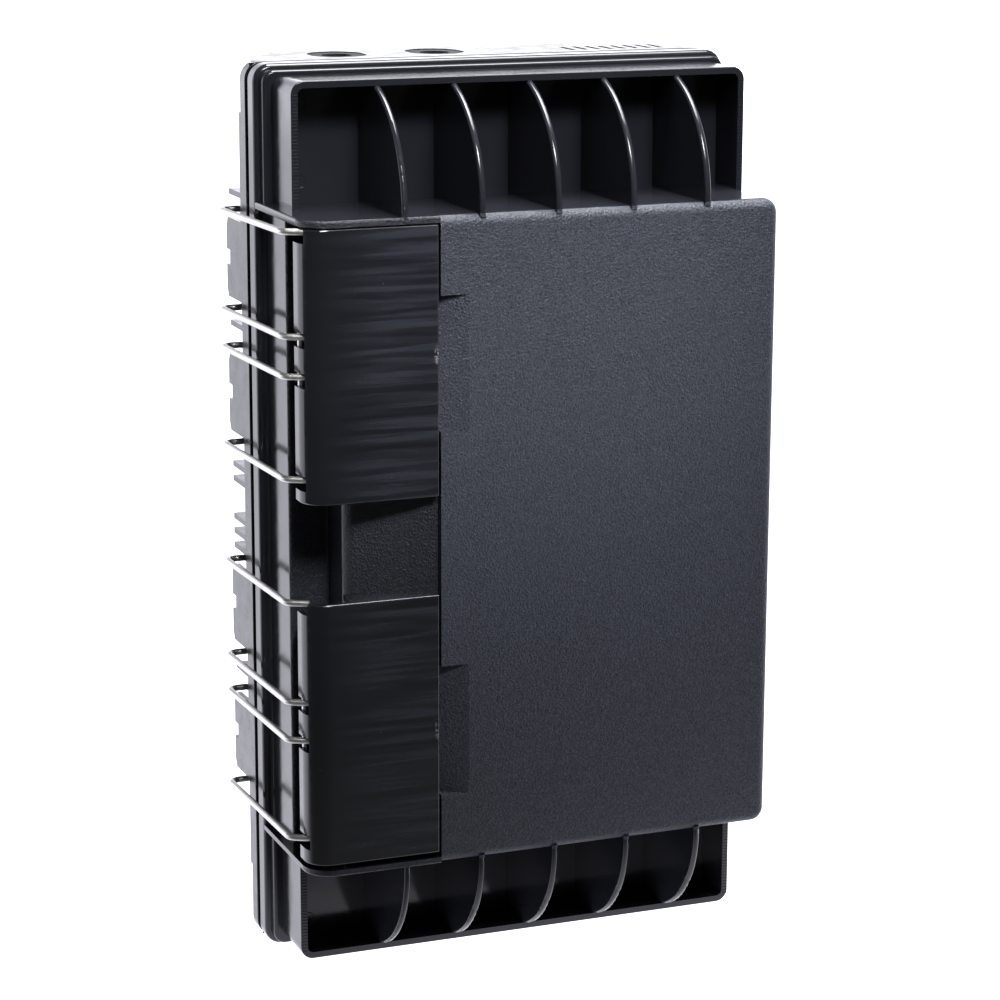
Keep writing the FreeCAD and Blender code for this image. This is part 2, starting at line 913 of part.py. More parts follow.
def make_grommet(x):
    plug = prism(port_outline(x, -port_clearance), "z", z_base - wall - bite, z_base - port_recess)
    lip = prism(port_outline(x, grommet_lip), "z", z_base - wall - grommet_lip_thick, z_base - wall)
    low = z_base - 3 * wall - grommet_lip_thick
    bore = rod(V(x, y_clamp, low), V(x, y_clamp, z_base + bite), cable_radius)
    return plug.fuse(lip).removeSplitter().cut(bore)


def make_drop_cable_seal():
    reach = slot_length / 2 + seal_margin
    return box(slot_left - seal_margin, slot_left + slot_row + seal_margin,
               -slot_setback - reach, -slot_setback + reach,
               z_base - wall - seal_thick, z_base - wall)


# Hinge pins and wall inserts

def make_hinge_pin(middle):
    hx, hy = hinge
    reach = (3 * knuckle_length + 2 * knuckle_gap) / 2
    return rod(V(hx, hy, middle - reach), V(hx, hy, middle + reach), hinge_pin_radius)


def make_mount_inserts():
    inserts = []
    for x, z in mount_places():
        sleeve = rod(V(x, 0, z), V(x, -insert_length, z), insert_radius)
        inserts.append(sleeve.cut(rod(V(x, bite, z), V(x, -insert_length - bite, z), insert_bore)))
    return Part.makeCompound(inserts)


# Trays

def stud_places():
    return [(x_tray, stud_spacing / 2), (x_tray, -stud_spacing / 2)]


def stud_holes(y_front, y_back):
    radius = stud_radius + stud_clearance
    return [rod(V(x, y_front, z), V(x, y_back, z), radius) for x, z in stud_places()]


def make_tray_carrier():
    half_x = carrier_width / 2
    half_z = carrier_height / 2
    plate = slab(x_tray - half_x, x_tray + half_x, -half_z, half_z, carrier_corner, y_trays, y_carrier)
    cuts = stud_holes(y_trays - bite, y_carrier + bite)
    radius = screw_radius + screw_clearance
    for x, z in carrier_screw_places():
        cuts.append(rod(V(x, y_trays - bite, z), V(x, y_carrier + bite, z), radius))
    return plate.cut(cuts)


def make_splice_tray(index):
    back = y_trays - index * tray_rim
    front = back - tray_rim
    half_x = tray_width / 2
    half_z = tray_height / 2
    dish = slab(x_tray - half_x, x_tray + half_x, -half_z, half_z, tray_corner, front, back)
    hollow = slab(x_tray - half_x + tray_wall, x_tray + half_x - tray_wall, -half_z + tray_wall,
                  half_z - tray_wall, tray_corner - tray_wall, front - bite, back - tray_wall)
    dish = dish.cut(hollow)
    sleeve_radius = stud_radius + stud_clearance + stud_sleeve_wall
    added = [rod(V(x, front, z), V(x, back - tray_wall / 2, z), sleeve_radius) for x, z in stud_places()]
    ridge_front = back - tray_wall - holder_height
    for i in range(holder_ridges):
        x = x_tray + (i - (holder_ridges - 1) / 2) * holder_pitch
        added.append(box(x - holder_ridge_thick / 2, x + holder_ridge_thick / 2, ridge_front,
                         back - tray_wall / 2, -holder_length / 2, holder_length / 2))
    for side in (-1, 1):
        for z in (-tray_height / 4, tray_height / 4):
            edge = x_tray + side * (half_x - tray_wall / 2)
            reach = edge - side * keeper_reach
            added.append(box(min(edge, reach), max(edge, reach), front, front + keeper_thick,
                             z - keeper_width / 2, z + keeper_width / 2))
    dish = join([dish] + added)
    return dish.cut(stud_holes(front - bite, back + bite))


def make_tray_lid():
    half_x = tray_width / 2
    half_z = tray_height / 2
    plate = slab(x_tray - half_x, x_tray + half_x, -half_z, half_z, tray_corner, y_nuts, y_lid)
    return plate.cut(stud_holes(y_nuts - bite, y_lid + bite))


def make_tray_studs():
    studs = []
    for x, z in stud_places():
        tip = y_nuts - nut_height - stud_proud
        shank = rod(V(x, tip, z), V(x, y_carrier + stud_collar_thick, z), stud_radius)
        collar = rod(V(x, y_carrier, z), V(x, y_carrier + stud_collar_thick, z), stud_collar_radius)
        studs.append(shank.fuse(collar).removeSplitter())
    return Part.makeCompound(studs)


def make_tray_nuts():
    nuts = []
    for x, z in stud_places():
        nut = rod(V(x, y_nuts - nut_height, z), V(x, y_nuts, z), nut_radius)
        low = y_nuts - nut_height - bite
        cuts = [rod(V(x, low, z), V(x, y_nuts + bite, z), stud_radius + running_clearance)]
        for i in range(nut_grooves):
            turn = 2 * math.pi * i / nut_grooves
            gx = x + nut_radius * math.cos(turn)
            gz = z + nut_radius * math.sin(turn)
            cuts.append(rod(V(gx, low, gz), V(gx, y_nuts + bite, gz), nut_groove_radius))
        nuts.append(nut.cut(cuts))
    return Part.makeCompound(nuts)


# Cable clamps and screws

def make_cable_clamp(x):
    low = clamp_middle - clamp_width / 2
    high = clamp_middle + clamp_width / 2
    inner = cable_radius + clamp_air
    outer = inner + clamp_thick
    arch = rod(V(x, y_clamp, low), V(x, y_clamp, high), outer)
    feet = box(x - outer - clamp_foot, x + outer + clamp_foot, y_clamp - clamp_thick, y_clamp, low, high)
    saddle = arch.fuse(feet).removeSplitter()
    cuts = [
        rod(V(x, y_clamp, low - bite), V(x, y_clamp, high + bite), inner),
        box(x - outer - bite, x + outer + bite, y_clamp, y_clamp + outer + bite, low - bite, high + bite),
    ]
    for sx, sz in clamp_screw_places():
        cuts.append(rod(V(sx, y_clamp - clamp_thick - bite, sz), V(sx, y_clamp + bite, sz),
                        screw_radius + screw_clearance))
    return saddle.cut(cuts)


def make_screws(places, y_seat, plate):
    screws = []
    for x, z in places:
        y_head = y_seat - plate
        head = rod(V(x, y_head - screw_head_height, z), V(x, y_head, z), screw_head_radius)
        shank = rod(V(x, y_head - screw_head_height / 2, z), V(x, y_seat + screw_length, z), screw_radius)
        drive = screw_radius / 4
        slot = box(x - screw_head_radius, x + screw_head_radius, y_head - screw_head_height - bite,
                   y_head - screw_head_height / 2, z - drive, z + drive)
        screws.append(head.fuse(shank).removeSplitter().cut(slot))
    return Part.makeCompound(screws)


def make_all():
    nodes = {
        "base_shell": make_base_shell(),
        "cover_shell": make_cover_shell(),
        "lid_gasket": make_lid_gasket(),
        "port_grommet_left": make_grommet(port_places[0]),
        "port_grommet_right": make_grommet(port_places[1]),
        "drop_cable_seal": make_drop_cable_seal(),
        "upper_hinge_pin": make_hinge_pin(hinge_middles()[0]),
        "lower_hinge_pin": make_hinge_pin(hinge_middles()[1]),
        "mount_inserts": make_mount_inserts(),
        "tray_carrier": make_tray_carrier(),
        "carrier_screws": make_screws(carrier_screw_places(), y_carrier, carrier_thick),
        "tray_studs": make_tray_studs(),
        "tray_nuts": make_tray_nuts(),
        "tray_lid": make_tray_lid(),
        "cable_clamp_left": make_cable_clamp(port_places[0]),
        "cable_clamp_right": make_cable_clamp(port_places[1]),
        "clamp_screws": make_screws(clamp_screw_places(), y_clamp, clamp_thick),
    }
    for which in ("upper", "lower"):
        nodes[which + "_latch_lever"] = make_lever(which)
        nodes[which + "_lever_pin"] = make_lever_pin(which)
    for i, middle in enumerate(bail_middles):
        nodes["latch_bail_%d" % (i + 1)] = make_bail(middle)
    for i in range(tray_count):
        nodes["splice_tray_%d" % (i + 1)] = make_splice_tray(i)
    return nodes


os.makedirs("parts", exist_ok=True)
for name, shape in make_all().items():
    shape.exportStep("parts/%s.step" % name)
    print(name, "valid", shape.isValid(), "solids", len(shape.Solids), "volume", round(shape.Volume, 1))
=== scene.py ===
import json
from math import radians
import bpy
from mathutils import Matrix, Vector


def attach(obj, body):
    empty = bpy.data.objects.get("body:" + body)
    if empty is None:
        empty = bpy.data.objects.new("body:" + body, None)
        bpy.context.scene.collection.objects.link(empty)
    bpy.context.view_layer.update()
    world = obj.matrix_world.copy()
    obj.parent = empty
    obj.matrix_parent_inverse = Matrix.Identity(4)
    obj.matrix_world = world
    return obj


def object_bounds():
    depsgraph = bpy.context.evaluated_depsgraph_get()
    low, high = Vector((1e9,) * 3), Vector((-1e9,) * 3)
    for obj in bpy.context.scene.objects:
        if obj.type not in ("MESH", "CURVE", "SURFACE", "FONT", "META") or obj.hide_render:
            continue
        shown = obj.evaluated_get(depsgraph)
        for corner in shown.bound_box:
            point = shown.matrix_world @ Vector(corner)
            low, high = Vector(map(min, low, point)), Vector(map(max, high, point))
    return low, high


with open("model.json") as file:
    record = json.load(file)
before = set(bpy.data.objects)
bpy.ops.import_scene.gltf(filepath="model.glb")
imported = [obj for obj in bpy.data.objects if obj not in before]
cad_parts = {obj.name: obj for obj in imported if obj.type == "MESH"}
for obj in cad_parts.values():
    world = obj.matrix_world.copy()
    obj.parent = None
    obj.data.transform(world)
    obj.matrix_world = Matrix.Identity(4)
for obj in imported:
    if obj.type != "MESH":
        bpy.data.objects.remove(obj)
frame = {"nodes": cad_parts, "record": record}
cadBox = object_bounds()
nodes = frame["nodes"]
mm = 0.001
midNoise = (0.3, 0.7)   # most values of a noise texture lie between these


def linearColour(hexText):  # sRGB hex to the linear values that shaders use
    out = []
    for i in (1, 3, 5):
        v = int(hexText[i:i + 2], 16) / 255
        out.append(v / 12.92 if v <= 0.04045 else ((v + 0.055) / 1.055) ** 2.4)
    return (*out, 1.0)


# Adds one node. A keyword names an input (i0, i1... by place) and holds a value, a colour in hex,
# a socket, or another node, whose first output is linked.
def add(tree, kind, settings=None, **links):
    node = tree.nodes.new(kind)
    for key, value in (settings or {}).items():
        setattr(node, key, value)
    for key, value in links.items():
        byPlace = key[0] == "i" and key[1:].isdigit()
        socket = node.inputs[int(key[1:])] if byPlace else node.inputs[key.replace("_", " ")]
        if isinstance(value, bpy.types.Node):
            tree.links.new(value.outputs[0], socket)
        elif isinstance(value, bpy.types.NodeSocket):
            tree.links.new(value, socket)
        else:
            socket.default_value = linearColour(value) if isinstance(value, str) else value
    return node


def newMaterial(name):
    material = bpy.data.materials.new(name)
    material.use_nodes = True
    tree = material.node_tree
    tree.nodes.clear()
    place = add(tree, "ShaderNodeTexCoord").outputs["Object"]
    return material, tree, place


# Camera where the photographer stood, a little left of the box and above it.
cameraSpec = {
    "place": (-0.5115, -1.3691, 0.3295),
    "right": (0.9304, -0.3666, 0.0031),
    "down": (-0.0812, -0.2143, -0.9734),
    "lens": 110.1,
    "sensor": 36.0,
}


def makeCamera(spec):
    data = bpy.data.cameras.new("studioCamera")
    data.lens = spec["lens"]
    data.sensor_width = spec["sensor"]
    camera = bpy.data.objects.new("studioCamera", data)
    right = Vector(spec["right"]).normalized()
    back = right.cross(-Vector(spec["down"])).normalized()
    turn = Matrix((right, back.cross(right), back)).transposed().to_4x4()
    camera.matrix_world = Matrix.Translation(spec["place"]) @ turn
    bpy.context.scene.collection.objects.link(camera)
    bpy.context.scene.camera = camera


makeCamera(cameraSpec)
print("camera set")


# An opal table lit from below in a dim room, bright behind the box and dim towards the camera, with a white
# backdrop beyond it: black plastic shows little but what it mirrors.
stageSpec = {
    "floorSize": 6.6,
    "opal": "#4a4a4a",               # its own colour when unlit
    "roughness": (0.85, 0.95),
    "hazeSize": 40.0,                # mm
    "gloss": 0.1,
    "lightColour": "#f4f4ff",        # of the table and the backdrop
    "glow": (0.08, 2.0),             # light that the table gives off in front of the box and behind it
    "glowHeading": (0.366, 0.930, 0.0),
    "glowFrom": (-0.25, -0.09),      # m along that heading, from the one to the other
    "roomLevel": 0.085,
    "backdropLevel": 3.0,
    "backdropTurn": (-0.05, 0.45),   # how far round towards +Y the backdrop starts and is full
    "backdropTop": (0.18, 0.45),     # height, as the sine of the elevation, over which it fades out
}


def makeFloor(spec):
    half = spec["floorSize"] / 2
    low = cadBox[0][2]
    corners = [(-half, -half, low), (half, -half, low), (half, half, low), (-half, half, low)]
    mesh = bpy.data.meshes.new("opalTable")
    mesh.from_pydata(corners, [], [(0, 1, 2, 3)])
    floor = bpy.data.objects.new("opalTable", mesh)
    bpy.context.scene.collection.objects.link(floor)
    material, tree, place = newMaterial("opalAcrylic")
    haze = add(tree, "ShaderNodeTexNoise", Vector=place, Scale=1 / (spec["hazeSize"] * mm), Detail=3.0)
    rough = add(tree, "ShaderNodeMapRange", Value=haze, To_Min=spec["roughness"][0],
                To_Max=spec["roughness"][1])
    depth = add(tree, "ShaderNodeVectorMath", {"operation": "DOT_PRODUCT"}, i0=place,
                i1=spec["glowHeading"])
    glow = add(tree, "ShaderNodeMapRange", {"interpolation_type": "SMOOTHSTEP"},
               Value=depth.outputs["Value"], From_Min=spec["glowFrom"][0], From_Max=spec["glowFrom"][1],
               To_Min=spec["glow"][0], To_Max=spec["glow"][1])
    shader = add(tree, "ShaderNodeBsdfPrincipled", Base_Color=spec["opal"], Roughness=rough,
                 Specular_IOR_Level=spec["gloss"], Emission_Color=spec["lightColour"],
                 Emission_Strength=glow)
    add(tree, "ShaderNodeOutputMaterial", Surface=shader)
    mesh.materials.append(material)


def makeRoom(spec):
    world = bpy.data.worlds.new("studioRoom")
    bpy.context.scene.world = world
    world.use_nodes = True
    tree = world.node_tree
    tree.nodes.clear()
    heading = add(tree, "ShaderNodeTexCoord").outputs["Generated"]
    sides = add(tree, "ShaderNodeSeparateXYZ", Vector=heading)
    turn = add(tree, "ShaderNodeMapRange", {"interpolation_type": "SMOOTHSTEP"}, Value=sides.outputs["Y"],
               From_Min=spec["backdropTurn"][0], From_Max=spec["backdropTurn"][1])
    fade = add(tree, "ShaderNodeMapRange", {"interpolation_type": "SMOOTHSTEP"}, Value=sides.outputs["Z"],
               From_Min=spec["backdropTop"][0], From_Max=spec["backdropTop"][1], To_Min=1.0, To_Max=0.0)
    share = add(tree, "ShaderNodeMath", {"operation": "MULTIPLY"}, i0=turn, i1=fade)
    level = add(tree, "ShaderNodeMapRange", Value=share, To_Min=spec["roomLevel"],
                To_Max=spec["backdropLevel"])
    glow = add(tree, "ShaderNodeBackground", Color=spec["lightColour"], Strength=level)
    add(tree, "ShaderNodeOutputWorld", Surface=glow)


# Soft boxes: one over the box, which draws the bright lines on the rounded edges, and a strip above the
# front, which lights the panel from its top edge down.
lightSpecs = [
    {"name": "topBox", "place": (0.16, -0.06, 0.78), "aim": (0.10, -0.06, -0.2), "size": (0.6, 0.45),
     "watts": 5.0, "spread": 1.1},
    {"name": "frontStrip", "place": (-0.06, -0.50, 0.46), "aim": (-0.06, -0.136, 0.130), "size": (0.4, 0.22),
     "watts": 0.60, "spread": 0.49},
]


def makeLight(spec):
    data = bpy.data.lights.new(spec["name"], "AREA")
    data.shape = "RECTANGLE"
    data.size, data.size_y = spec["size"]
    data.energy = spec["watts"]
    data.spread = spec["spread"]
    lamp = bpy.data.objects.new(spec["name"], data)
    place = Vector(spec["place"])
    turn = (Vector(spec["aim"]) - place).to_track_quat("-Z", "Y").to_matrix().to_4x4()
    lamp.matrix_world = Matrix.Translation(place) @ turn
    bpy.context.scene.collection.objects.link(lamp)


makeFloor(stageSpec)
makeRoom(stageSpec)
for spec in lightSpecs:
    makeLight(spec)
bpy.context.scene.view_settings.view_transform = "Standard"
print("stage and lights set")


# Black ABS, injection moulded. The panel and the latch bay come from an etched mould face and show a fine
# wrinkled grain; the rest is polished and mirrors the bright table at a slant. The IOR is lower than the
# 1.54 of clear ABS, because carbon black and mould haze take the edge off the mirror seen head on.
coverFinish = {
    "grained": ("#0e1016", "#3a3e49"),
    "plain": ("#18191e", "#202126"),
    "grainSize": 0.75,              # mm from wrinkle to wrinkle
    "pitSize": 1.05,                # mm from pit to pit between them
    "peaks": (0.32, 0.68),          # heights where the lighter colour starts and is full
    "grainHeight": 0.30,            # mm, deeper than a real etching so that it shows
    "bayPaintedShade": 0.70,               # painted shade: how much darker the etched face is painted in the latch bay, the recess that lies in shade between the levers
    "facing": (-0.15, -0.55),       # how squarely a face looks forward where the etching starts and is full
    "panelDepth": -131.0,           # mm along Y: what lies in front of this is etched on the panel side
    "bayDepth": -94.0,              # and on the latch side
    "bayRight": -52.6,              # mm along X, where the one meets the other
    "etchedMiddle": -2.0,           # mm along Z
    "etchedHalf": 148.1,            # mm above and below it
    "roughness": (0.10, 0.17),
    "grainedRoughness": 0.33,       # added where the face is etched
    "polishedBump": 0.02,           # share of the grain's height left on polished faces
    "flowSize": 45.0,               # mm
    "hazeSize": 9.0,                # mm
    "ior": 1.38,
}


def grainedAbs(spec):
    material, tree, place = newMaterial("mouldedAbsGrained")
    x, y, z = add(tree, "ShaderNodeSeparateXYZ", Vector=place).outputs
    onLeft = add(tree, "ShaderNodeMath", {"operation": "LESS_THAN"}, i0=x, i1=spec["bayRight"] * mm)
    reach = add(tree, "ShaderNodeMapRange", Value=onLeft, To_Min=spec["panelDepth"] * mm,
                To_Max=spec["bayDepth"] * mm)
    inFront = add(tree, "ShaderNodeMath", {"operation": "LESS_THAN"}, i0=y, i1=reach)
    between = add(tree, "ShaderNodeMath", {"operation": "COMPARE"}, i0=z, i1=spec["etchedMiddle"] * mm,
                  i2=spec["etchedHalf"] * mm)
    within = add(tree, "ShaderNodeMath", {"operation": "MULTIPLY"}, i0=inFront, i1=between)
    looks = add(tree, "ShaderNodeSeparateXYZ", Vector=add(tree, "ShaderNodeTexCoord").outputs["Normal"])
    squarely = add(tree, "ShaderNodeMapRange", Value=looks.outputs["Y"], From_Min=spec["facing"][0],
                   From_Max=spec["facing"][1])
    etched = add(tree, "ShaderNodeMath", {"operation": "MULTIPLY"}, i0=within, i1=squarely)
    wrinkles = add(tree, "ShaderNodeTexNoise", Vector=place, Scale=1 / (spec["grainSize"] * mm), Detail=2.0,
                   Roughness=0.6, Distortion=1.2)
    pits = add(tree, "ShaderNodeTexVoronoi", {"feature": "F1"}, Vector=place,
               Scale=1 / (spec["pitSize"] * mm))
    height = add(tree, "ShaderNodeMath", {"operation": "ADD"}, i0=wrinkles, i1=pits)
    peaks = add(tree, "ShaderNodeMapRange", Value=wrinkles, From_Min=spec["peaks"][0],
                From_Max=spec["peaks"][1])
    grain = add(tree, "ShaderNodeMix", {"data_type": "RGBA"}, i0=peaks, i6=spec["grained"][0],
                i7=spec["grained"][1])
    # Painted shade: in the latch bay the etched colour is pulled towards its darkest, standing in for the
    # shade in the recess between the levers.
    paintedShade = add(tree, "ShaderNodeMath", {"operation": "MULTIPLY"}, i0=onLeft, i1=spec["bayPaintedShade"])
    grain = add(tree, "ShaderNodeMix", {"data_type": "RGBA"}, i0=paintedShade, i6=grain.outputs[2],
                i7=spec["grained"][0])
    flow = add(tree, "ShaderNodeTexNoise", Vector=place, Scale=1 / (spec["flowSize"] * mm), Detail=3.0)
    polished = add(tree, "ShaderNodeMix", {"data_type": "RGBA"}, i0=flow, i6=spec["plain"][0],
                   i7=spec["plain"][1])
    colour = add(tree, "ShaderNodeMix", {"data_type": "RGBA"}, i0=etched, i6=polished.outputs[2],
                 i7=grain.outputs[2])
    haze = add(tree, "ShaderNodeTexNoise", Vector=place, Scale=1 / (spec["hazeSize"] * mm), Detail=4.0)
    satin = add(tree, "ShaderNodeMapRange", Value=haze, From_Min=midNoise[0], From_Max=midNoise[1],
                To_Min=spec["roughness"][0], To_Max=spec["roughness"][1])
    rough = add(tree, "ShaderNodeMath", {"operation": "MULTIPLY_ADD"}, i0=etched,
                i1=spec["grainedRoughness"], i2=satin)
    strength = add(tree, "ShaderNodeMapRange", Value=etched, To_Min=spec["polishedBump"], To_Max=1.0)
    bump = add(tree, "ShaderNodeBump", Strength=strength, Distance=spec["grainHeight"] * mm, Height=height)
    shader = add(tree, "ShaderNodeBsdfPrincipled", Base_Color=colour.outputs[2], Roughness=rough,
                 IOR=spec["ior"], Normal=bump)
    add(tree, "ShaderNodeOutputMaterial", Surface=shader)
    return material


# Moulded plastics and rubber without an etched grain: a slow flow of colour, hazy gloss and a trace of
# orange peel.
mouldedSizes = {"flow": 35.0, "haze": 7.0, "peel": 1.1, "peelHeight": 0.1}   # mm
mouldedFinishes = {
    "mouldedAbs": {"colours": ("#121317", "#1a1b1f"), "roughness": (0.18, 0.30), "ior": 1.38, "peel": 0.05},
    "epdmRubber": {"colours": ("#121212", "#1c1c1b"), "roughness": (0.72, 0.88), "ior": 1.45, "peel": 0.20},
    "trayAbs": {"colours": ("#c6c7c5", "#d2d3d0"), "roughness": (0.36, 0.50), "ior": 1.50, "peel": 0.06},
    "nutNylon": {"colours": ("#131315", "#1b1b1e"), "roughness": (0.36, 0.50), "ior": 1.50, "peel": 0.10},
}


def moulded(name):
    spec = mouldedFinishes[name]
    material, tree, place = newMaterial(name)
    flow = add(tree, "ShaderNodeTexNoise", Vector=place, Scale=1 / (mouldedSizes["flow"] * mm), Detail=4.0)
    colour = add(tree, "ShaderNodeMix", {"data_type": "RGBA"}, i0=flow, i6=spec["colours"][0],
                 i7=spec["colours"][1])
    haze = add(tree, "ShaderNodeTexNoise", Vector=place, Scale=1 / (mouldedSizes["haze"] * mm), Detail=4.0)
    rough = add(tree, "ShaderNodeMapRange", Value=haze, From_Min=midNoise[0], From_Max=midNoise[1],
                To_Min=spec["roughness"][0], To_Max=spec["roughness"][1])
    peel = add(tree, "ShaderNodeTexNoise", Vector=place, Scale=1 / (mouldedSizes["peel"] * mm), Detail=2.0)
    bump = add(tree, "ShaderNodeBump", Strength=spec["peel"], Distance=mouldedSizes["peelHeight"] * mm,
               Height=peel)
    shader = add(tree, "ShaderNodeBsdfPrincipled", Base_Color=colour.outputs[2], Roughness=rough,
                 IOR=spec["ior"], Normal=bump)
    add(tree, "ShaderNodeOutputMaterial", Surface=shader)
    return material


# Black nylon from a polished mould: nearly a mirror, with long soft smears along X that thicken towards the
# free edge, dust specks, hair scratches, and pale scuffs where fingers pull.
leverFinish = {
    "colours": ("#0e0f12", "#15171b"),
    "smearColour": "#2a2c33",
    "smearLength": 75.0,        # mm along X
    "smearHeight": 3.6,         # mm along Z
    "smearFrom": (-108.0, -74.0),   # mm along X, where the smears start and are full
    "streaks": (0.36, 0.76),    # how much of the smear pattern shows
    "flowSize": 30.0,           # mm
    "speckColour": "#7c7f85",
    "speckSpacing": 9.0,        # mm
    "speckSize": 0.16,          # mm
    "scuffs": [(-54.4, 84.6, 5.0), (-54.6, -86.0, 5.5)],   # x, z and half length in mm
    "scuffWidth": 1.3,          # mm, half
    "scuffFade": (1.1, 0.4),    # in half widths from its middle, where it starts and is full
    "scuffColour": "#6f7277",
    "scuffRoughness": 0.4,      # added where it is scuffed
    "chafeSize": 1.2,           # mm
    "chafed": (0.50, 0.66),     # how much of the chafing shows
    "scratchLines": (90, 90, 3500),   # for each metre of X, Y and Z: scratches 11 by 0.3 mm
    "scratchDepth": 0.2,        # mm
    "scratchBump": 0.03,
    "roughness": (0.10, 0.22),
    "ior": 1.53,
}


def polishedNylon(spec):
    material, tree, place = newMaterial("polishedNylon")
    x = add(tree, "ShaderNodeSeparateXYZ", Vector=place).outputs["X"]
    along = 1 / (spec["smearLength"] * mm)
    across = 1 / (spec["smearHeight"] * mm)
    drawn = add(tree, "ShaderNodeMapping", Vector=place, Scale=(along, along, across))
    smear = add(tree, "ShaderNodeTexNoise", Vector=drawn, Scale=1.0, Detail=5.0, Roughness=0.5,
                Distortion=0.4)
    streak = add(tree, "ShaderNodeMapRange", {"interpolation_type": "SMOOTHSTEP"}, Value=smear,
                 From_Min=spec["streaks"][0], From_Max=spec["streaks"][1])
    reach = add(tree, "ShaderNodeMapRange", {"interpolation_type": "SMOOTHSTEP"}, Value=x,
                From_Min=spec["smearFrom"][0] * mm, From_Max=spec["smearFrom"][1] * mm)
    streak = add(tree, "ShaderNodeMath", {"operation": "MULTIPLY"}, i0=streak, i1=reach)
    flow = add(tree, "ShaderNodeTexNoise", Vector=place, Scale=1 / (spec["flowSize"] * mm), Detail=3.0)
    base = add(tree, "ShaderNodeMix", {"data_type": "RGBA"}, i0=flow, i6=spec["colours"][0],
               i7=spec["colours"][1])
    smeared = add(tree, "ShaderNodeMix", {"data_type": "RGBA"}, i0=streak, i6=base.outputs[2],
                  i7=spec["smearColour"])
    grit = add(tree, "ShaderNodeTexVoronoi", {"feature": "F1"}, Vector=place,
               Scale=1 / (spec["speckSpacing"] * mm))
    edge = spec["speckSize"] / spec["speckSpacing"]
    speck = add(tree, "ShaderNodeMapRange", Value=grit, From_Min=edge, From_Max=edge / 2)
    colour = add(tree, "ShaderNodeMix", {"data_type": "RGBA"}, i0=speck, i6=smeared.outputs[2],
                 i7=spec["speckColour"])
    chafe = add(tree, "ShaderNodeTexNoise", Vector=place, Scale=1 / (spec["chafeSize"] * mm), Detail=3.0)
    worn = add(tree, "ShaderNodeMapRange", Value=chafe, From_Min=spec["chafed"][0],
               From_Max=spec["chafed"][1])
    rough = add(tree, "ShaderNodeMapRange", Value=smear, From_Min=midNoise[0], From_Max=midNoise[1],
                To_Min=spec["roughness"][0], To_Max=spec["roughness"][1])
    for sx, sz, half in spec["scuffs"]:
        away = add(tree, "ShaderNodeVectorMath", {"operation": "SUBTRACT"}, i0=place,
                   i1=(sx * mm, 0, sz * mm))
        away = add(tree, "ShaderNodeVectorMath", {"operation": "MULTIPLY"}, i0=away,
                   i1=(1 / (spec["scuffWidth"] * mm), 0, 1 / (half * mm)))
        away = add(tree, "ShaderNodeVectorMath", {"operation": "LENGTH"}, i0=away)
        spot = add(tree, "ShaderNodeMapRange", Value=away.outputs["Value"],
                   From_Min=spec["scuffFade"][0], From_Max=spec["scuffFade"][1])
        scuff = add(tree, "ShaderNodeMath", {"operation": "MULTIPLY"}, i0=spot, i1=worn)
        colour = add(tree, "ShaderNodeMix", {"data_type": "RGBA"}, i0=scuff, i6=colour.outputs[2],
                     i7=spec["scuffColour"])
        rough = add(tree, "ShaderNodeMath", {"operation": "MULTIPLY_ADD"}, i0=scuff,
                    i1=spec["scuffRoughness"], i2=rough)
    hair = add(tree, "ShaderNodeMapping", Vector=place, Scale=spec["scratchLines"])
    scratch = add(tree, "ShaderNodeTexNoise", Vector=hair, Scale=1.0, Detail=2.0)
    bump = add(tree, "ShaderNodeBump", Strength=spec["scratchBump"], Distance=spec["scratchDepth"] * mm,
               Height=scratch)
    shader = add(tree, "ShaderNodeBsdfPrincipled", Base_Color=colour.outputs[2], Roughness=rough,
                 IOR=spec["ior"], Normal=bump)
    add(tree, "ShaderNodeOutputMaterial", Surface=shader)
    return material


# Metals: drawn stainless wire, ground pins, zinc-plated screws, rolled aluminium sheet and turned brass.
# Each has drawing, rolling or turning lines along its own direction, given as lines for each metre of X,
# Y and Z.
lineDepth = 0.1   # mm
metalFinishes = {
    "drawnStainless": {"colour": "#c0bfbb", "roughness": (0.34, 0.46), "lines": (900, 60, 900),
                       "bump": 0.015},
    "groundSteel": {"colour": "#b8b8b8", "roughness": (0.22, 0.34), "lines": (300, 300, 1600),
                    "bump": 0.05},
    "zincPlate": {"colour": "#c2c4c8", "roughness": (0.24, 0.38), "lines": (500, 500, 500),
                  "bump": 0.04},
    "rolledAluminium": {"colour": "#c4c6c8", "roughness": (0.32, 0.46), "lines": (1400, 400, 40),
                        "bump": 0.06},
    "turnedBrass": {"colour": "#c8a45c", "roughness": (0.22, 0.34), "lines": (200, 2500, 200),
                    "bump": 0.05},
}


def metal(name):
    spec = metalFinishes[name]
    material, tree, place = newMaterial(name)
    drawn = add(tree, "ShaderNodeMapping", Vector=place, Scale=spec["lines"])
    lines = add(tree, "ShaderNodeTexNoise", Vector=drawn, Scale=1.0, Detail=4.0)
    rough = add(tree, "ShaderNodeMapRange", Value=lines, From_Min=midNoise[0], From_Max=midNoise[1],
                To_Min=spec["roughness"][0], To_Max=spec["roughness"][1])
    bump = add(tree, "ShaderNodeBump", Strength=spec["bump"], Distance=lineDepth * mm, Height=lines)
    shader = add(tree, "ShaderNodeBsdfPrincipled", Base_Color=spec["colour"], Metallic=1.0, Roughness=rough,
                 Normal=bump)
    add(tree, "ShaderNodeOutputMaterial", Surface=shader)
    return material


# Clear polycarbonate sheet over the trays: thin and glossy, with faint smears.
lidFinish = {
    "colour": "#eef3f5",
    "smearSize": 16.0,   # mm
    "roughness": (0.05, 0.13),
    "ior": 1.585,
    "clear": 0.95,
}


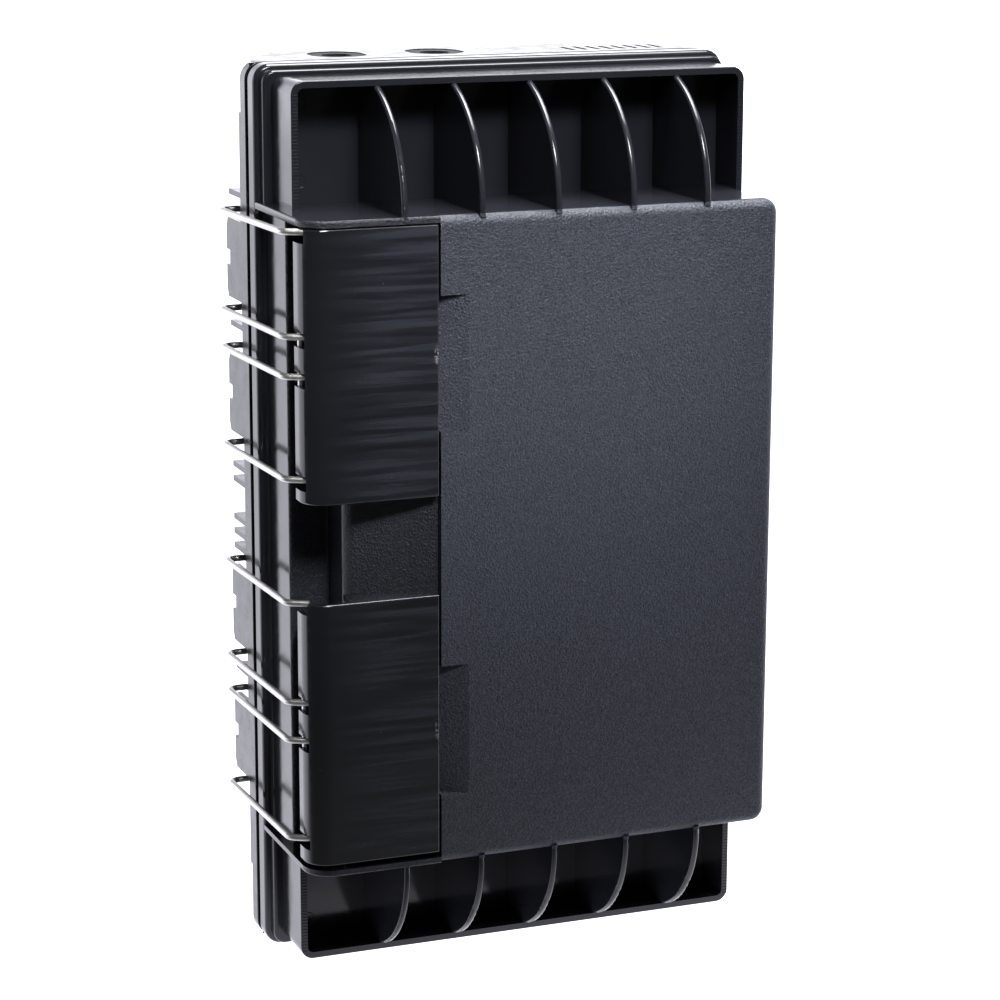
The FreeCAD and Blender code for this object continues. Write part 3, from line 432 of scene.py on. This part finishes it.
def clearPolycarbonate(spec):
    material, tree, place = newMaterial("clearPolycarbonate")
    smear = add(tree, "ShaderNodeTexNoise", Vector=place, Scale=1 / (spec["smearSize"] * mm), Detail=4.0)
    rough = add(tree, "ShaderNodeMapRange", Value=smear, From_Min=midNoise[0], From_Max=midNoise[1],
                To_Min=spec["roughness"][0], To_Max=spec["roughness"][1])
    shader = add(tree, "ShaderNodeBsdfPrincipled", Base_Color=spec["colour"], Roughness=rough,
                 IOR=spec["ior"], Transmission_Weight=spec["clear"])
    add(tree, "ShaderNodeOutputMaterial", Surface=shader)
    return material


finishes = {
    "cover_plastic": grainedAbs(coverFinish),
    "base_plastic": moulded("mouldedAbs"),
    "lever_plastic": polishedNylon(leverFinish),
    "wire_steel": metal("drawnStainless"),
    "seal_rubber": moulded("epdmRubber"),
    "pin_steel": metal("groundSteel"),
    "carrier_sheet": metal("rolledAluminium"),
    "screw_steel": metal("zincPlate"),
    "tray_plastic": moulded("trayAbs"),
    "lid_clear": clearPolycarbonate(lidFinish),
    "nut_plastic": moulded("nutNylon"),
    "insert_brass": metal("turnedBrass"),
}
finishes["clamp_plastic"] = finishes["nut_plastic"]
for part in frame["record"]["subparts"]:
    piece = nodes[part["node"]]
    for slot in piece.material_slots:
        slot.material = finishes[part["material_slot"]]
print("finishes on", len(nodes), "nodes")


# Runs a node tree on an empty mesh and keeps the result as a plain mesh that moves with a body.
def grow(name, tree, values, body):
    piece = bpy.data.objects.new(name, bpy.data.meshes.new(name))
    bpy.context.scene.collection.objects.link(piece)
    modifier = piece.modifiers.new(name, "NODES")
    modifier.node_group = tree
    for item in tree.interface.items_tree:
        if item.in_out == "INPUT":
            modifier[item.identifier] = values[item.name]
    seen = piece.evaluated_get(bpy.context.evaluated_depsgraph_get())
    mesh = bpy.data.meshes.new_from_object(seen)
    piece.modifiers.clear()
    piece.data = mesh
    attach(piece, body)
    print(name, "has", len(mesh.polygons), "faces")


# Starts a tree with one named input for each size, and a material.
def newTree(name, sizes):
    tree = bpy.data.node_groups.new(name, "GeometryNodeTree")
    tree.interface.new_socket("Geometry", in_out="OUTPUT", socket_type="NodeSocketGeometry")
    for size in sizes:
        tree.interface.new_socket(size, in_out="INPUT", socket_type="NodeSocketFloat")
    tree.interface.new_socket("Finish", in_out="INPUT", socket_type="NodeSocketMaterial")
    return tree, add(tree, "NodeGroupInput").outputs


# Ejector pins leave a fine ring on the pocket floors, two to each cell between the ribs.
ringSpec = {
    "Ring Radius": 3.2 * mm,
    "Bead Radius": 0.20 * mm,
    "Column Pitch": 36.0 * mm,
    "Row Gap": 34.5 * mm,
    "columns": 6,
    "rows": 2,
    "ringSides": 40,
    "beadSides": 6,
    "middleX": -7.8,                # mm, as the next two
    "floorY": -77.3,
    "middleZ": (173.2, -174.4),
}


def makeRings(spec):
    sizes = [key for key in spec if key[0].isupper()]
    tree, inputs = newTree("ejectorRings", sizes)
    width = add(tree, "ShaderNodeMath", {"operation": "MULTIPLY"}, i0=inputs["Column Pitch"],
                i1=spec["columns"] - 1.0)
    height = add(tree, "ShaderNodeMath", {"operation": "MULTIPLY"}, i0=inputs["Row Gap"],
                 i1=spec["rows"] - 1.0)
    grid = add(tree, "GeometryNodeMeshGrid", Size_X=width, Size_Y=height, Vertices_X=spec["columns"],
               Vertices_Y=spec["rows"])
    path = add(tree, "GeometryNodeCurvePrimitiveCircle", Resolution=spec["ringSides"],
               Radius=inputs["Ring Radius"])
    bead = add(tree, "GeometryNodeCurvePrimitiveCircle", Resolution=spec["beadSides"],
               Radius=inputs["Bead Radius"])
    ring = add(tree, "GeometryNodeCurveToMesh", Curve=path, Profile_Curve=bead)
    rings = add(tree, "GeometryNodeInstanceOnPoints", Points=grid, Instance=ring)
    both = add(tree, "GeometryNodeJoinGeometry")
    for z in spec["middleZ"]:
        hung = add(tree, "GeometryNodeTransform", Geometry=rings, Rotation=(radians(90), 0, 0),
                   Translation=(spec["middleX"] * mm, spec["floorY"] * mm, z * mm))
        tree.links.new(hung.outputs[0], both.inputs[0])
    solid = add(tree, "GeometryNodeRealizeInstances", Geometry=both)
    smooth = add(tree, "GeometryNodeSetShadeSmooth", Geometry=solid)
    dressed = add(tree, "GeometryNodeSetMaterial", Geometry=smooth, Material=inputs["Finish"])
    add(tree, "NodeGroupOutput", Geometry=dressed)
    values = {key: spec[key] for key in sizes}
    values["Finish"] = finishes["cover_plastic"]
    grow("pocketEjectorRings", tree, values, "cover")


# The cutter that made the mould left a row of fine ridges along the side rims of both pockets.
ridgeSpec = {
    "Ridge Radius": 0.34 * mm,
    "Ridge Length": 2.5 * mm,
    "Ridge Pitch": 1.5 * mm,
    "count": 33,
    "sides": 8,
    "rimY": -99.86,                 # mm, as the next two
    "rimX": (-106.75, 107.85),
    "startZ": (148.2, -198.2),
}


def makeRidges(spec):
    sizes = [key for key in spec if key[0].isupper()]
    tree, inputs = newTree("rimRidges", sizes)
    step = add(tree, "ShaderNodeCombineXYZ", Z=inputs["Ridge Pitch"])
    row = add(tree, "GeometryNodeMeshLine", Count=spec["count"], Offset=step)
    rod = add(tree, "GeometryNodeMeshCylinder", Vertices=spec["sides"], Radius=inputs["Ridge Radius"],
              Depth=inputs["Ridge Length"])
    laid = add(tree, "GeometryNodeTransform", Geometry=rod, Rotation=(0, radians(90), 0))
    ridges = add(tree, "GeometryNodeInstanceOnPoints", Points=row, Instance=laid)
    every = add(tree, "GeometryNodeJoinGeometry")
    for x in spec["rimX"]:
        for z in spec["startZ"]:
            placed = add(tree, "GeometryNodeTransform", Geometry=ridges,
                         Translation=(x * mm, spec["rimY"] * mm, z * mm))
            tree.links.new(placed.outputs[0], every.inputs[0])
    solid = add(tree, "GeometryNodeRealizeInstances", Geometry=every)
    dressed = add(tree, "GeometryNodeSetMaterial", Geometry=solid, Material=inputs["Finish"])
    add(tree, "NodeGroupOutput", Geometry=dressed)
    values = {key: spec[key] for key in sizes}
    values["Finish"] = finishes["cover_plastic"]
    grow("pocketRimRidges", tree, values, "cover")


makeRings(ringSpec)
makeRidges(ridgeSpec)
